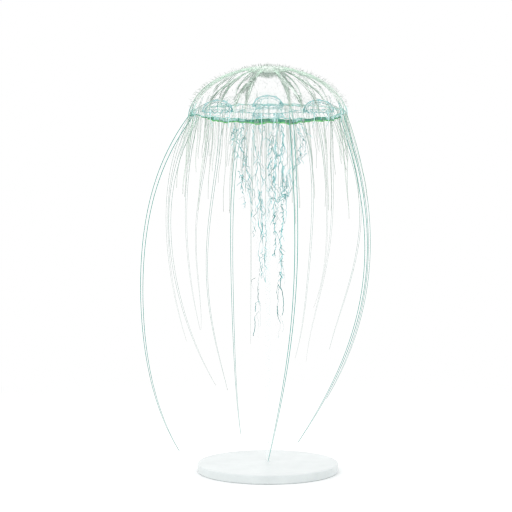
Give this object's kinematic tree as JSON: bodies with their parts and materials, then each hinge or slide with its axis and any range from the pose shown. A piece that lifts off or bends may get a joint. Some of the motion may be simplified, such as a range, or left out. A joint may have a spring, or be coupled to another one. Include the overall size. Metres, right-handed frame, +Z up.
{
  "type": "moon jellyfish model on a stand",
  "caption": "Still moon jellyfish: domed clear bell with radial ribs, ring gonads, green ruffled margin, frilled oral arms and long curved tentacles, on a rod and round foot",
  "frame": {"origin": "centre of the stand's foot, on its underside, which rests on z = 0", "axes": "+Z up the rod, through the middle of the bell to its crown; the animal's front, which the reference view shows, faces -Y; +X is to the right in that view"},
  "size_m": [0.3581, 0.3298, 0.6395],
  "materials": {
    "bell_jelly": "clear wet jelly, pale green",
    "manubrium_jelly": "clear wet jelly",
    "margin_green": "moist green frill",
    "gonad_teal": "moist teal folds",
    "oral_arm_teal": "moist teal lace",
    "tentacle_jelly": "moist clear tube with grey-green edges",
    "stand_base": "satin white acrylic",
    "stand_rod": "clear polished acrylic"
  },
  "bodies": {
    "root": {"bell": "bell_jelly", "gonad_1": "gonad_teal", "gonad_2": "gonad_teal", "gonad_3": "gonad_teal", "gonad_4": "gonad_teal", "manubrium": "manubrium_jelly", "margin_1": "margin_green", "margin_2": "margin_green", "margin_3": "margin_green", "margin_4": "margin_green", "margin_5": "margin_green", "margin_6": "margin_green", "margin_7": "margin_green", "margin_8": "margin_green", "oral_arm_1_lower": "oral_arm_teal", "oral_arm_1_upper": "oral_arm_teal", "oral_arm_2_lower": "oral_arm_teal", "oral_arm_2_upper": "oral_arm_teal", "oral_arm_3_lower": "oral_arm_teal", "oral_arm_3_upper": "oral_arm_teal", "oral_arm_4_lower": "oral_arm_teal", "oral_arm_4_upper": "oral_arm_teal", "stand_base": "stand_base", "stand_rod": "stand_rod", "tentacle_back_1": "tentacle_jelly", "tentacle_back_2": "tentacle_jelly", "tentacle_back_left_1": "tentacle_jelly", "tentacle_back_left_2": "tentacle_jelly", "tentacle_back_middle_1": "tentacle_jelly", "tentacle_back_middle_2": "tentacle_jelly", "tentacle_back_right_1": "tentacle_jelly", "tentacle_back_right_2": "tentacle_jelly", "tentacle_front_1": "tentacle_jelly", "tentacle_front_2": "tentacle_jelly", "tentacle_front_3": "tentacle_jelly", "tentacle_front_left_1": "tentacle_jelly", "tentacle_front_left_2": "tentacle_jelly", "tentacle_front_middle_1": "tentacle_jelly", "tentacle_front_middle_2": "tentacle_jelly", "tentacle_front_middle_3": "tentacle_jelly", "tentacle_front_right_1": "tentacle_jelly", "tentacle_front_right_2": "tentacle_jelly", "tentacle_left_1": "tentacle_jelly", "tentacle_left_2": "tentacle_jelly", "tentacle_left_3": "tentacle_jelly", "tentacle_left_back_1": "tentacle_jelly", "tentacle_left_back_2": "tentacle_jelly", "tentacle_left_front_1": "tentacle_jelly", "tentacle_left_front_2": "tentacle_jelly", "tentacle_left_middle_1": "tentacle_jelly", "tentacle_left_middle_2": "tentacle_jelly", "tentacle_right_1": "tentacle_jelly", "tentacle_right_2": "tentacle_jelly", "tentacle_right_3": "tentacle_jelly", "tentacle_right_back_1": "tentacle_jelly", "tentacle_right_back_2": "tentacle_jelly", "tentacle_right_front_1": "tentacle_jelly", "tentacle_right_front_2": "tentacle_jelly"}
  },
  "joints": []
}
